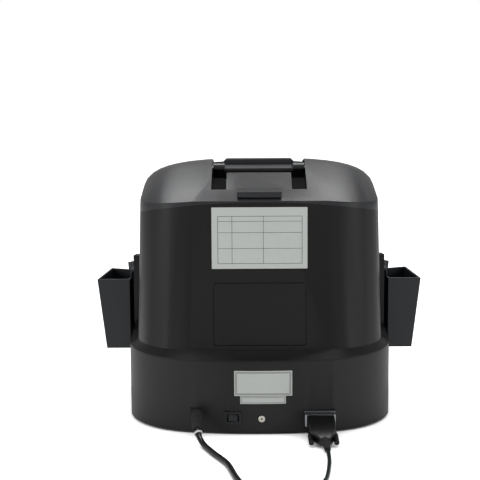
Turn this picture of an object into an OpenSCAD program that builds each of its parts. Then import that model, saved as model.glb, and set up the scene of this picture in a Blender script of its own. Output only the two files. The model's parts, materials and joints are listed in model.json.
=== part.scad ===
// Coin sorting machine with a fan of six lift-off coin cups.
// Millimetres, +Z up, back of the machine towards +Y, floor at z = 0.

/* [Base] */
// Width of the base housing
base_w = 275; // [250:1:330]
// Distance from the centre of the cup fan to the back of the base
back_reach = 150; // [140:1:165]
// Height of the joint between base and upper housing
base_h = 76; // [66:1:90]
// Wall of the base housing
base_wall = 3; // [2.5:0.1:3.5]
// Radius of the slightly bulged back of the base
bulge_r = 392; // [360:1:520]
// Plan radius of the back corners of the base
base_corner_r = 78; // [60:1:84]
// Height of the rubber feet that show below the base
foot_h = 2; // [1.5:0.1:3]
// Thickness of the floor plate
plate_t = 2.4; // [2:0.1:3]

/* [Upper housing] */
// Height of the whole machine to the top of the lid's bar
overall_h = 266; // [262:1:290]
// Height of the sloped shoulder above the base
shoulder_h = 9; // [6:0.5:12]
// Step in from the base side to the upper housing
side_step = 9.5; // [8.5:0.5:11]
// Step in from the back of the base to the rear panel
back_step = 19; // [16:1:24]
// Wall of the upper housing and of the top cover
shell_wall = 2.6; // [2:0.1:3]
// How far each side leans in between shoulder and rim
side_lean = 4; // [3:0.5:6]
// How far the rear panel leans in between shoulder and rim
back_lean = 3; // [2:0.5:5]
// Plan radius of the corners beside the rear panel
shell_corner_r = 56; // [40:1:60]

/* [Top cover] */
// Drop from the overall height to the rear rim of the top cover
rim_drop = 25; // [22:1:28]
// Distance from the back of the base to the crest of the top cover
crest_d = 140; // [136:1:144]
// Fall of the cover joint for each millimetre towards the front
joint_fall = 0.16; // [0.14:0.005:0.18]
// Height of the flat tab that the opened lid rests on
tab_w = 45; // [35:1:55]

/* [Lid] */
// Width of the lid over its two arms
lid_w = 97; // [85:1:105]
// Length of the lid ahead of its hinge
lid_reach = 96; // [88:1:97]
// Width of each hinge arm
arm_w = 12; // [10:0.5:13]
// Thickness of the lid plate
lid_t = 3; // [2:0.1:3.2]
// Radius of the two hinge pins
lid_pin_r = 1.5; // [1.2:0.1:2]
// Clearance around the lid in its well
lid_gap = 0.7; // [0.5:0.1:1]

/* [Coin cups] */
// Depth of a cup from the base to its outer corner
cup_depth = 38.5; // [32:0.5:46]
// Angle that each cup takes in the fan
cup_angle = 20.4; // [17:0.1:22]
// Height of the cup rims above the floor
cup_rim_h = 131; // [128:1:134]
// Height of a cup from its underside to its rim
cup_h = 78; // [65:1:86]
// Wall of a cup
cup_wall = 2; // [1.6:0.1:2.4]
// Width of the hook that a cup hangs by
hook_w = 30; // [25:1:34]

/* [Sorting head] */
// Radius of the spinning coin disc
disc_r = 92; // [84:1:93]
// Thickness of the coin disc
disc_t = 4; // [3:0.5:5]
// Height of the top of the coin disc above the floor
disc_h = 182; // [178:1:184]
// Radius of the disc's drive shaft
shaft_r = 4; // [3:0.5:5]
// Pitch radius of the pulley on the disc shaft
big_pulley_r = 36; // [30:1:40]
// Pitch radius of the pulley on the motor
small_pulley_r = 9; // [8:0.5:11]
// Radius of the drive motor
motor_r = 18; // [15:0.5:20]
// Smallest coin slot width in the sorting ring
slot_min = 17; // [15:0.5:18]
// Largest coin slot width in the sorting ring
slot_max = 27; // [24:0.5:28]

/* [Controls] */
// Width of the display window
window_w = 60; // [50:1:66]
// Height of the display window
window_h = 20; // [16:1:21]
// Diameter of a push key
key_d = 11; // [9:0.5:12]
// Travel of a push key
key_travel = 1.5; // [1:0.1:2]

/* [Cords] */
// Diameter of the mains lead
mains_d = 6; // [5:0.5:7]
// Diameter of the printer cable
data_d = 4; // [3.5:0.5:4.5]

/* [Hidden] */
$fn = 48;
EPS = 0.01;
CUPS = 6;

black = [0.13, 0.13, 0.14];
dark = [0.2, 0.21, 0.23];
grey = [0.45, 0.46, 0.48];
steel = [0.7, 0.71, 0.73];
label_grey = [0.78, 0.8, 0.78];
board_green = [0.1, 0.35, 0.2];

// Radii about the centre of the cup fan
base_r = base_w / 2;
shell_r = base_r - side_step;
rim_r = shell_r - side_lean;
cup_gap = 1.7;
cup_in = base_r + cup_gap;
fan_r = base_r + 1.5 + cup_depth;
cup_pitch = (180 - cup_angle) / (CUPS - 1);

// Place of the fan's centre, so that the machine is centred on the origin
switch_proud = 2.5;
front_reach = fan_r * cos((cup_pitch - cup_angle) / 2);
fan_y = (front_reach - back_reach - switch_proud) / 2;
back_y = fan_y + back_reach;
function from_back(d) = back_y - d;

// Heights
shell_z = base_h + shoulder_h;
rim_z = overall_h - rim_drop;
joint_z = rim_z - 4;
crest_z = overall_h - 2;
joint_curve = 0.0006;
section_n = 3;
section_h = 38;
crest_drop = overall_h - crest_z;
shell_top_z = joint_z - 10;
rim_d = back_step + back_lean;
back_tilt = atan(back_lean / (shell_top_z - shell_z));

// Plateau and control slope of the top cover
plateau_d = crest_d + 82;
plateau_z = crest_z - 13;
panel_top_w = 136;
panel_low_w = 92;
panel_low_d = back_reach + sqrt(pow(rim_r, 2) - pow(panel_low_w / 2 + 4, 2));
panel_low_z = joint_z - joint_fall * (panel_low_d - rim_d) + 2;
panel_angle = atan2(plateau_z - panel_low_z, panel_low_d - plateau_d);
panel_len = norm([plateau_z - panel_low_z, panel_low_d - plateau_d]);
panel_t = 2.5;
panel_in = 1.2;
panel_seat = 4;
key_pitch = 14;

// Lid hinge
hinge_d = 122;
lid_tilt = 4;
lid_back_angle = 8;
arm_r = 5.2;
arm_len = 62;
plate_top = -3.5;
bar_top = 8.7;
bar_half = lid_w / 2 - arm_w;
bar_leg = 1.6;
bar_t = 4;
bar_back = 6;
bar_deep = 18;
lid_back = 3;
hinge_z = overall_h - bar_top * cos(lid_tilt) + bar_back * sin(lid_tilt);
well_low = plate_top - lid_t - 1.5;
recess_low = -15;
pocket_end_d = 51;
recess_d = 97;
tab_end_d = 57;
well_back = 15;
above_lid = 40;
pocket_in = lid_w / 2 - arm_w - 2.7;
pocket_out = lid_w / 2 + lid_gap;
pin_clear = 0.05;

// Hopper mouth, seen in the lid's own frame
mouth_w = 86;

mouth_front = lid_reach - 6;
hopper_wall = 2.4;
mouth_back = well_back + shell_wall + hopper_wall + 2;
hopper_r = disc_r - 10;
collar_h = 9;

// Sorting head
ring_gap = 3;
ring_in = disc_r + ring_gap;
ring_t = 5;
ring_out = ring_in + ring_t;
ring_low = disc_h - disc_t - 6;
ring_high = disc_h + 8;
hatch_w = 94;
hatch_h = 65;
hatch_z = 121.5;
hatch_gap = 0.4;
hatch_corner = 3;
deck_z = shell_z - 2;
deck_t = 3;
deck_top = deck_z + deck_t;
skirt_r = base_r - 0.5;
skirt_in = skirt_r - 4;
skirt_h = 158;
ledge_z = cup_rim_h + 6;
notch_w = hook_w + 4;
chute_w = 30;
chute_low = ledge_z + 4.5;
chute_end = skirt_in - 6.5;
pulley_z = disc_h - 18;
pulley_h = 8;
motor_x = -52;
motor_y = 38;
motor_h = 56;
motor_shaft_r = 2.5;
belt_t = 1.5;
belt_gap = 0.3;

// Rear fittings on the base, as offsets from the middle and heights
fit_z = 18;
switch_x = 28;
switch_face = -0.4;
rocker_pin_r = 1;
serial_face = -2.6;
gland_face = -4;
pad_deep = 9;
ring_x = -1.4;
ring_z = 17;
serial_x = -60.7;
gland_x = 65;
gland_z = 20;
gland_bore = 10;

// Where the mains lead runs: out of the gland, down to the floor and away from the back.
// Each point is a distance to the right, a distance behind the base and a height.
mains_route = [
    [65, 13, 20], [64.8, 20, 18.2], [63.8, 27, 14.2], [61.5, 34, 8.8], [58, 41, 4.6], [54.4, 49, 3],
    [51.2, 57, 3], [48, 65, 3], [44.6, 73, 3], [40.8, 81, 3], [36.8, 90, 3], [33.2, 99, 3],
    [30.4, 109, 3], [28.2, 120, 3], [26, 131, 3], [23.6, 142, 3], [20.6, 153, 3], [17.4, 164, 3],
    [14.2, 175, 3], [11.2, 186, 3], [8.6, 197, 3], [6.6, 209, 3], [5.4, 221, 3], [5, 232, 3]];
mains_tail = [[81, 232, 3], [81.5, 241, 3], [84, 249, 3.5], [88.5, 255, 5], [95, 258, 6.5], [102, 259, 7]];
mains_coil_at = [43, 232];
mains_coil_mid = 66;
printer_route = [
    [-60.7, 45, 13], [-60.8, 51, 10.5], [-61.2, 57, 7], [-62, 63, 3.8], [-63.2, 69, 2], [-64.4, 76, 2],
    [-65.2, 84, 2], [-65.5, 92, 2], [-65.3, 100, 2], [-64.8, 108, 2], [-64.1, 116, 2], [-63.3, 124, 2],
    [-62.3, 132, 2], [-61, 140, 2], [-59, 148, 2], [-56, 155, 2], [-52, 162, 2], [-47.5, 169, 2],
    [-43.2, 177, 2], [-40, 186, 2], [-38.3, 196, 2], [-38, 206, 2]];
printer_tail = [[-82, 206, 2], [-82.5, 213, 2], [-85, 219, 2.6], [-89.5, 223, 4], [-95, 224.5, 5.5], [-101, 225, 6]];
printer_coil_at = [-60, 206];
printer_coil_mid = 44;
coil_side = 3;

// ---------- helpers ----------

function arc(x, y, r, from, to, n) =
    [for (i = [0:n]) let (a = from + (to - from) * i / n) [x + r * cos(a), y + r * sin(a)]];

// Plan of the base: half circle in front, bulged back, round back corners. Origin at the fan's centre.
function base_plan(grow = 0) =
    let (r = base_r + grow, c = base_corner_r + grow, b = bulge_r + grow, by = back_reach - bulge_r,
         cx = r - c, cy = by + sqrt(pow(b - c, 2) - cx * cx), turn = atan2(cx, cy - by))
    concat(arc(cx, cy, c, 0, 90 - turn, 8), arc(0, by, b, 90 - turn, 90 + turn, 14),
           arc(-cx, cy, c, 90 + turn, 180, 8), arc(0, 0, r, 180, 360, 40));

// Plan of the upper housing: half circle in front, flat back with round corners.
function shell_plan(r, back, c) =
    concat(arc(r - c, back - c, c, 0, 90, 8), arc(c - r, back - c, c, 90, 180, 8), arc(0, 0, r, 180, 360, 40));

module at_fan() translate([0, fan_y, 0]) children();
module slab(points, z, h) translate([0, 0, z]) linear_extrude(h) polygon(points);
module box_at(low, high) translate(low) cube(high - low);
module both_sides() {
    children();
    mirror([1, 0, 0]) children();
}

// The lid's frame: x across, y towards the back from the hinge, z up from the lid's plane.
module at_hinge(turn = lid_tilt) translate([0, from_back(hinge_d), hinge_z]) rotate([turn, 0, 0]) children();
module along_x(x0, x1) translate([x0, 0, 0]) rotate([90, 0, 90]) linear_extrude(x1 - x0) children();

// Frame of the sloped control panel: x across, y up the slope, z out of the panel.
module at_panel() translate([0, from_back((plateau_d + panel_low_d) / 2), (plateau_z + panel_low_z) / 2])
    rotate([panel_angle, 0, 0]) children();

// A place on the rear panel at a height, with y pointing up and z pointing out to the back.
module on_back(z) translate([0, from_back(back_step + (z - shell_z) * tan(back_tilt)), z])
    rotate([90 - back_tilt, 0, 180]) children();

// A sector of the fan: cup i's own frame, with x pointing out from the fan's centre.
module at_cup(i) at_fan() rotate([0, 0, -cup_angle / 2 - (i - 1) * cup_pitch]) children();

// A round tube along a list of centres, with one ring of points at each centre.
module tube(points, r, sides) {
    n = len(points);
    function way(i) = let (a = points[max(i - 1, 0)], b = points[min(i + 1, n - 1)]) (b - a) / norm(b - a);
    function across(i) = let (c = cross(way(i), [0, 0, 1])) c / norm(c);
    rings = [for (i = [0:n - 1]) let (u = across(i), v = cross(u, way(i)))
        for (k = [0:sides - 1]) points[i] + r * (cos(360 * k / sides) * u + sin(360 * k / sides) * v)];
    walls = [for (i = [0:n - 2], k = [0:sides - 1]) let (a = i * sides, k2 = (k + 1) % sides)
        [a + k, a + k2, a + sides + k2, a + sides + k]];
    ends = [[for (k = [sides - 1:-1:0]) k], [for (k = [0:sides - 1]) (n - 1) * sides + k]];
    polyhedron(rings, concat(walls, ends), convexity = 10);
}
function behind(route) = [for (p = route) [p[0], back_y + p[1], p[2]]];

// ---------- upper housing ----------

// The whole outer form above the shoulder, drawn in by an inset: the hull of the plan at two heights,
// the arched rear rim, and smooth cross-sections from the crest to the front of the top.
module envelope(inset = 0) at_fan() hull_of(concat(
    at_height(shell_plan(shell_r - inset, back_reach - back_step - inset, shell_corner_r - inset / 2), shell_z - inset),
    at_height(shell_plan(rim_r - inset, back_reach - rim_d - inset, shell_corner_r - inset / 2), shell_top_z),
    rim_points(inset),
    section(crest_d - 13, rim_r - 0.4, crest_drop + 0.4, inset),
    section(crest_d, rim_r, crest_drop, inset),
    section(crest_d + 16, rim_r - 1, crest_drop + 0.5, inset),
    section(plateau_d - 18, 109, overall_h - plateau_z - 2.8, inset),
    section(plateau_d, 99, overall_h - plateau_z, inset),
    [for (x = [-1, 1]) [x * (panel_low_w / 2 + 4 - inset), back_reach - panel_low_d + inset, panel_low_z - 2]]));
module hull_of(points) hull() polyhedron(points, [[for (i = [0:len(points) - 1]) i]]);
function at_height(points, z) = [for (p = points) [p[0], p[1], z]];

// Points along the arched rim, which follows the back of the plan.
function rim_points(inset) = [for (p = shell_plan(rim_r - inset - 0.3, back_reach - rim_d - inset - 0.3, shell_corner_r - inset / 2))
    if (p[1] > 20) [p[0], p[1], rim_z - inset - joint_curve * p[0] * p[0]]];

// A superellipse across the machine, at a distance from the back of the base and a drop below the top.
function section(d, half_w, drop, inset) =
    let (a = half_w - inset, b = section_h - drop / 2 - inset, z = overall_h - drop - inset - b)
    [for (t = [0:9:180]) [a * sign(cos(t)) * pow(abs(cos(t)), 2 / section_n), back_reach - d + (d > crest_d + 20 ? inset : 0),
        z + b * pow(sin(t), 2 / section_n)]];

// Everything above the arched, forward-sloping joint of the top cover.
module above_joint() translate([0, from_back(rim_d), joint_z]) rotate([atan(joint_fall), 0, 0])
    translate([0, 300, 0]) rotate([90, 0, 0]) linear_extrude(700)
        polygon(concat([for (x = [-200:20:200]) [x, -joint_curve * x * x]], [[200, 150], [-200, 150]]));

module shoulder() hull() {
    at_fan() slab(base_plan(), base_h, 2);
    at_fan() slab(shell_plan(shell_r, back_reach - back_step, shell_corner_r), shell_z - EPS, EPS);
}
module shoulder_space() hull() {
    at_fan() slab(base_plan(-base_wall), base_h - 1, 1.6);
    at_fan() slab(shell_plan(shell_r - shell_wall - 0.2, back_reach - back_step - shell_wall - 0.2, shell_corner_r - shell_wall),
                  shell_z - shell_wall, 1);
}

module hatch_outline(grow, h) linear_extrude(h) offset(r = hatch_corner + grow)
    square([hatch_w - 2 * hatch_corner, hatch_h - 2 * hatch_corner], center = true);

module upper_shell() color(black) difference() {
    union() {
        difference() {
            envelope();
            above_joint();
        }
        shoulder();
    }
    difference() {
        union() {
            envelope(shell_wall);
            shoulder_space();
        }
    }
    on_back(hatch_z) translate([0, 0, -shell_wall * 2]) hatch_outline(hatch_gap, shell_wall * 3);
    for (i = [1:CUPS]) at_cup(i) box_at([shell_r - 16, -notch_w / 2, ledge_z + 2], [shell_r + 6, notch_w / 2, ledge_z + 28]);
}

module coin_skirt() color(black) difference() {
    at_fan() union() {
        rotate([0, 0, 180]) rotate_extrude(angle = 180, $fn = 96) polygon([
            [skirt_in, shoulder_line(skirt_in)], [skirt_r, shoulder_line(skirt_r)], [skirt_r, skirt_h - 2],
            [skirt_r - 2, skirt_h], [shell_at(skirt_h) + 0.4, skirt_h], [shell_at(skirt_h) + 0.4, skirt_h - 2.5],
            [skirt_in, skirt_h - 2.5]]);
        both_sides() box_at([shell_at(skirt_h) + 3.4, 0, shell_z + 1], [skirt_r, 3, skirt_h - EPS]);
    }
    for (i = [1:CUPS]) at_cup(i) box_at([shell_r - 10, -notch_w / 2, ledge_z], [skirt_r + 5, notch_w / 2, skirt_h + 5]);
}
function shoulder_line(r) = base_h + 2.2 + (base_r - r) * (shoulder_h - 2) / side_step;
function shell_at(z) = shell_r - side_lean * (z - shell_z) / (shell_top_z - shell_z);

// ---------- top cover ----------

// The space that the lid, its arms and its bar need, grown on every side but the top.
module lid_space(grow) translate([0, from_back(hinge_d), hinge_z]) {
    along_x(-pocket_in - 1 - grow, pocket_in + 1 + grow) {
        swing_outline(grow);
        span_2d([0, recess_low - grow], [hinge_d - recess_d + grow, above_lid]);
    }
    both_sides() along_x(pocket_in - grow, pocket_out + grow) {
        swing_outline(grow);
        rotate(-lid_back_angle) span_2d([0, -arm_r - 1.3 - grow], [hinge_d - pocket_end_d + grow, above_lid]);
    }
}
module swing_outline(grow) {
    rotate(lid_tilt) span_2d([-lid_reach - 2.5 - grow, well_low - grow], [8, above_lid]);
    span_2d([-well_back - grow, recess_low - grow], [well_back, above_lid]);
}
module span_2d(low, high) translate(low) square(high - low);

module top_cover() color(black) difference() {
    union() {
        difference() {
            envelope();
            envelope(shell_wall);
        }
        intersection() {
            envelope(0);
            union() {
                lid_space(shell_wall);
                at_panel() panel_plate(3, -panel_in - panel_t - 2.5, 0);
            }
        }
        rest_tab_block();
    }
    translate([0, 0, EPS]) below_joint();
    lid_space(0);
    at_hinge() box_at([-mouth_w / 2, -mouth_front, -30], [mouth_w / 2, -mouth_back, 30]);
    at_panel() panel_plate(lid_gap / 2, -panel_in - panel_t, 10);
    at_panel() panel_plate(-panel_seat, -20, 0);
    both_sides() at_hinge() along_x(lid_w / 2 - 5, lid_w / 2 + 5.5) circle(lid_pin_r);
}

module below_joint() difference() {
    box_at([-250, -300, -1], [250, 300, overall_h + 20]);
    above_joint();
}

module rest_tab_block() box_at([-tab_w / 2, from_back(tab_end_d), rim_z], [tab_w / 2, from_back(rim_d + 6), rim_z + 5.5]);

// The control panel's outline between two heights in its own frame.
module panel_plate(grow, low, high) translate([0, 0, low]) linear_extrude(high - low) polygon([
    [-panel_low_w / 2 - grow, -panel_len / 2 + 7 - grow], [panel_low_w / 2 + grow, -panel_len / 2 + 7 - grow],
    [panel_top_w / 2 - 8 + grow, panel_len / 2 - 6 + grow], [8 - panel_top_w / 2 - grow, panel_len / 2 - 6 + grow]]);

function key_at(i) = [(i - 3.5) * key_pitch, -14, 0];

module control_panel() color(grey) at_panel() difference() {
    panel_plate(0, -panel_in - panel_t, -panel_in);
    box_at([-window_w / 2, 3, -10], [window_w / 2, 3 + window_h, 10]);
    for (i = [1:6]) translate(key_at(i)) translate([0, 0, -10]) cylinder(d = key_d + 0.8, h = 20);
}

module display_window() color([0.1, 0.12, 0.12]) at_panel()
    box_at([-window_w / 2 + 0.2, 3.2, -panel_in - panel_t], [window_w / 2 - 0.2, 2.8 + window_h, -panel_in - 0.3]);

module lcd_module() color(board_green) at_panel() union() {
    box_at([-window_w / 2 - 2, 1, -panel_in - panel_t - 8], [window_w / 2 + 2, 5 + window_h, -panel_in - panel_t - 6.5]);
    box_at([-window_w / 2 + 2, 4, -panel_in - panel_t - 6.5], [window_w / 2 - 2, 2 + window_h, -panel_in - panel_t]);
}

module key_board() color(board_green) at_panel() union() {
    box_at([-41, -20, -panel_in - panel_t - 8], [41, -4, -panel_in - panel_t - 6.5]);
    for (x = [-21, 21]) translate([x, -6, -panel_in - panel_t - 6.5 - EPS]) cylinder(d = 3, h = 6.5 + EPS);
    for (i = [1:6]) translate(key_at(i)) box_at([-3, -3, -panel_in - panel_t - 6.5], [3, 3, -panel_in - panel_t - 4]);
}

module key(i) color(grey) at_panel() translate(key_at(i)) union() {
    translate([0, 0, -panel_in - panel_t]) cylinder(d = key_d, h = panel_t + key_travel + 0.3);
    translate([0, 0, -panel_in - panel_t - 2]) cylinder(d = key_d - 4, h = 2 + EPS);
}

// ---------- lid ----------

module hopper_lid() color(black) at_hinge() difference() {
    union() {
        box_at([-lid_w / 2, -lid_reach, plate_top - lid_t], [lid_w / 2, lid_back, plate_top]);
        both_sides() along_x(lid_w / 2 - arm_w, lid_w / 2) {
            circle(arm_r);
            polygon([[0, arm_r], [0, -arm_r], [-arm_len, plate_top - lid_t], [-arm_len - 4, plate_top - 1], [-arm_len, -0.5]]);
        }
        translate([0, -bar_back, 0]) rotate([90, 0, 0]) linear_extrude(bar_deep) polygon([
            [-bar_half - bar_leg, 0], [-bar_half - bar_leg, bar_top - 3.5], [2 - bar_half, bar_top], [bar_half - 2, bar_top],
            [bar_half + bar_leg, bar_top - 3.5], [bar_half + bar_leg, 0], [bar_half, 0], [bar_half, bar_top - bar_t],
            [-bar_half, bar_top - bar_t], [-bar_half, 0]]);
    }
    both_sides() along_x(lid_w / 2 - 9.5, lid_w / 2 + 5) circle(lid_pin_r + pin_clear);
}

module lid_pins() color(steel) both_sides() at_hinge() along_x(lid_w / 2 - 9, lid_w / 2 + 3) circle(lid_pin_r);

// ---------- hopper ----------

module hopper_bowl() color(dark) difference() {
    hopper_form(hopper_wall, 0);
    hopper_form(0, 1);
}
// A straight collar under the lid's well that widens to the round edge over the disc.
module hopper_form(wall, past) {
    at_hinge() collar(wall, well_low - shell_wall - collar_h, well_low - shell_wall + past);
    hull() {
        at_hinge() collar(wall, well_low - shell_wall - collar_h, well_low - shell_wall - collar_h + 1);
        at_fan() translate([0, 0, disc_h + 4 - past]) cylinder(r = hopper_r - hopper_wall + wall, h = 3, $fn = 64);
    }
}
module collar(wall, low, high) box_at([-mouth_w / 2 - wall, -mouth_front - wall, low], [mouth_w / 2 + wall, -mouth_back + wall, high]);

// ---------- rear panel ----------

module service_hatch() color(black) on_back(hatch_z) union() {
    translate([0, 0, -shell_wall]) hatch_outline(0, shell_wall);
    translate([0, 0, -shell_wall - 1.5]) linear_extrude(1.5 + EPS) square([hatch_w - 6, hatch_h - 6], center = true);
}

module fault_label() color(label_grey) on_back(200.5) linear_extrude(0.4) square([97, 63], center = true);

module rating_labels() color(label_grey) at_fan() intersection() {
    linear_extrude(overall_h) difference() {
        polygon(base_plan(0.4));
        polygon(base_plan(0));
    }
    union() {
        box_at([-32.5, 0, 41], [26.5, back_reach + 5, 67.3]);
        box_at([-26, 0, 32.7], [20.5, back_reach + 5, 40.6]);
    }
}

// ---------- base ----------

// A flat pad on the curved back, which a fitting sits on.
module pad(x, z, w, h, face) box_at([x - w / 2, back_y - pad_deep, z - h / 2], [x + w / 2, back_y + face, z + h / 2]);

module base_shell() color(black) difference() {
    union() {
        difference() {
            at_fan() slab(base_plan(), foot_h, base_h - foot_h);
            at_fan() slab(base_plan(-base_wall), -1, base_h + 5);
        }
        pad(switch_x, fit_z, 17.4, 13.4, switch_face);
        pad(serial_x, fit_z, 31.4, 13, serial_face);
        pad(gland_x, gland_z, 14, 14, gland_face);
    }
    box_at([switch_x - 7.2, back_y - 12, fit_z - 5.2], [switch_x + 7.2, back_y + 2, fit_z + 5.2]);
    box_at([serial_x - 9.2, back_y - 12, fit_z - 5.2], [serial_x + 9.2, back_y + 2, fit_z + 5.2]);
    translate([gland_x, back_y - 15, gland_z]) rotate([-90, 0, 0]) cylinder(d = gland_bore, h = 20);
    translate([ring_x, back_y - 10, ring_z]) rotate([-90, 0, 0]) cylinder(d = 3.2, h = 20);
}

module base_plate() color(dark) difference() {
    at_fan() slab(base_plan(-base_wall - 0.3), foot_h, plate_t);
    for (p = foot_places) translate([p[0], fan_y + p[1], -1]) cylinder(d = 6, h = 10);
    for (p = screw_places) translate([p[0], fan_y + p[1], -1]) cylinder(d = 3.4, h = 10);
}
foot_places = [[92, 96], [-92, 96], [85, -85], [-85, -85]];
screw_places = [[60, 128], [-60, 128], [122, 10], [-122, 10], [45, -118], [-45, -118]];

module rubber_feet() color([0.08, 0.08, 0.08]) for (p = foot_places) translate([p[0], fan_y + p[1], 0]) {
    cylinder(d = 16, h = foot_h);
    cylinder(d = 6, h = foot_h + plate_t);
}

module base_screws() color(steel) for (p = screw_places) translate([p[0], fan_y + p[1], foot_h - 1.2]) {
    cylinder(d = 6.5, h = 1.2);
    cylinder(d = 3, h = 12);
}

// ---------- coin cups ----------

// The cup's wedge as a hull between its floor and its rim, drawn in by an inset.
module cup_form(inset, low, high) {
    half = tan(cup_angle / 2);
    out = fan_r * cos(cup_angle / 2);
    function wedge(shrink) = [[cup_in + inset, (cup_in + inset) * half - inset], [out - shrink - inset, (out - shrink - inset) * half - inset],
        [out - shrink - inset, inset - (out - shrink - inset) * half], [cup_in + inset, inset - (cup_in + inset) * half]];
    hull() {
        slab(wedge(9), low, EPS);
        slab(wedge(0), high - EPS, EPS);
    }
}

module coin_cup(i) color(dark) at_cup(i) {
    difference() {
        cup_form(0, cup_rim_h - cup_h, cup_rim_h);
        cup_form(cup_wall, cup_rim_h - cup_h + cup_wall, cup_rim_h + 1);
    }
    box_at([cup_in, -hook_w / 2, cup_rim_h - 8], [cup_in + cup_wall, hook_w / 2, ledge_z + 3.3]);
    box_at([skirt_in - 4.6, -hook_w / 2, ledge_z + 0.3], [cup_in + cup_wall, hook_w / 2, ledge_z + 3.3]);
    box_at([skirt_in - 4.6, -hook_w / 2, ledge_z - 7], [skirt_in - 2, hook_w / 2, ledge_z + 3.3]);
}

// ---------- sorting head ----------

module mechanism_deck() color(steel) at_fan() difference() {
    union() {
        slab(shell_plan(shell_r - shell_wall - 1.5, back_reach - back_step - shell_wall - 1.5, shell_corner_r), deck_z, deck_t);
        for (p = post_places) translate([p[0], p[1], foot_h + plate_t]) cylinder(d = 9, h = deck_z - foot_h - plate_t + EPS);
    }
    translate([0, 0, deck_z - 1]) cylinder(r = shaft_r + 3, h = 10);
}
post_places = [[106, 76], [-106, 76], [104, -45], [-104, -45], [0, -112]];

ring_legs = [28, 152, 206.2, 270, 333.8];
module sorting_ring() color(steel) at_fan() difference() {
    union() {
        translate([0, 0, ring_low]) difference() {
            cylinder(r = ring_out, h = ring_high - ring_low);
            translate([0, 0, -1]) cylinder(r = ring_in, h = ring_high);
        }
        for (a = ring_legs) rotate([0, 0, a]) translate([(ring_in + ring_out) / 2, 0, deck_top])
            cylinder(d = ring_t + 2, h = ring_low - deck_top + 4);
    }
    translate([0, 0, ring_low]) cylinder(r = ring_in, h = 20);
    for (i = [1:CUPS]) rotate([0, 0, -cup_angle / 2 - (i - 1) * cup_pitch])
        box_at([ring_in - 5, -slot_at(i) / 2, disc_h - 0.5], [ring_out + 5, slot_at(i) / 2, disc_h + 3.5]);
}
function slot_at(i) = slot_min + (slot_max - slot_min) * (i - 1) / (CUPS - 1);

module coin_chutes() color(grey) for (i = [1:CUPS]) at_cup(i) {
    rise = disc_h - 1 - chute_low;
    translate([0, chute_w / 2, 0]) rotate([90, 0, 0]) linear_extrude(chute_w) polygon([
        [ring_out + 0.3, disc_h - 1], [chute_end, chute_low], [chute_end, chute_low - 2.4], [ring_out + 0.3, disc_h - 3.4]]);
    for (s = [-1, 1]) translate([0, s * (chute_w / 2 - 0.75) + 0.75, 0]) rotate([90, 0, 0]) linear_extrude(1.5) polygon([
        [ring_out + 0.3, disc_h + 5], [ring_out + 5, disc_h + 5], [chute_end, chute_low + 8], [chute_end, chute_low - 2.4], [ring_out + 0.3, disc_h - 3.4]]);
}

module coin_disc() color([0.25, 0.25, 0.27]) at_fan() difference() {
    union() {
        translate([0, 0, disc_h - disc_t]) cylinder(r = disc_r, h = disc_t);
        translate([0, 0, disc_h]) cylinder(r1 = 16, r2 = 7, h = 8);
        for (a = [0:60:300]) rotate([0, 0, a]) box_at([14, -1, disc_h - EPS], [disc_r - 20, 1, disc_h + 1]);
    }
    translate([0, 0, disc_h - 20]) cylinder(r = shaft_r, h = 26);
}

module disc_shaft() color(steel) at_fan() translate([0, 0, deck_top + 3]) cylinder(r = shaft_r, h = disc_h + 6 - deck_top - 3);

bearing_h = 7;
tower_top = pulley_z - 8;
module shaft_bearings() color(steel) at_fan() for (z = [deck_top + 6, tower_top - bearing_h]) translate([0, 0, z]) difference() {
    cylinder(r = shaft_r + 5, h = bearing_h);
    translate([0, 0, -1]) cylinder(r = shaft_r + pin_clear, h = bearing_h + 2);
}

module bearing_tower() color(grey) at_fan() difference() {
    union() {
        translate([0, 0, deck_top]) cylinder(r = shaft_r + 9, h = tower_top - deck_top);
        translate([0, 0, deck_top]) cylinder(r = shaft_r + 18, h = 4);
    }
    translate([0, 0, deck_top + 6]) cylinder(r = shaft_r + 5, h = 200);
    translate([0, 0, deck_top + 2]) cylinder(r = shaft_r + 1, h = 50);
}

module pulley(r, bore) difference() {
    union() {
        cylinder(r = r, h = pulley_h);
        cylinder(r = r + 2, h = 1.2);
        translate([0, 0, pulley_h - 1.2]) cylinder(r = r + 2, h = 1.2);
    }
    if (bore > 0) translate([0, 0, -1]) cylinder(r = bore, h = pulley_h + 2);
}
module disc_pulley() color(grey) at_fan() translate([0, 0, pulley_z]) pulley(big_pulley_r, shaft_r);

module motor_pulley() color(steel) at_fan() translate([motor_x, motor_y, 0]) union() {
    translate([0, 0, pulley_z]) pulley(small_pulley_r, 0);
    translate([0, 0, deck_top + motor_h - 5]) cylinder(r = motor_shaft_r, h = pulley_z - deck_top - motor_h + 5 + EPS);
}

// A flat loop round both pulleys, at a distance from their faces.
module belt_loop(away) hull() {
    circle(big_pulley_r + away, $fn = 96);
    translate([motor_x, motor_y]) circle(small_pulley_r + away, $fn = 96);
}
module drive_belt() color([0.1, 0.1, 0.1]) at_fan() translate([0, 0, pulley_z + 1.6]) linear_extrude(pulley_h - 3.2) difference() {
    belt_loop(belt_gap + belt_t);
    belt_loop(belt_gap);
}

module drive_motor() color(steel) at_fan() translate([motor_x, motor_y, deck_top]) difference() {
    cylinder(r = motor_r, h = motor_h);
    translate([0, 0, motor_h - 6]) cylinder(r = motor_shaft_r + pin_clear, h = 20);
}

module motor_bracket() color(grey) at_fan() translate([motor_x, motor_y, deck_top]) difference() {
    union() {
        cylinder(r = motor_r + 4, h = 5);
        for (s = [-1, 1]) box_at([-4, s * (motor_r + 2) - 2, 0], [4, s * (motor_r + 2) + 2, motor_h - 20]);
        translate([0, 0, motor_h - 24]) cylinder(r = motor_r + 4, h = 6);
    }
    translate([0, 0, -1]) cylinder(r = motor_r + 0.1, h = 100);
}

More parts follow.
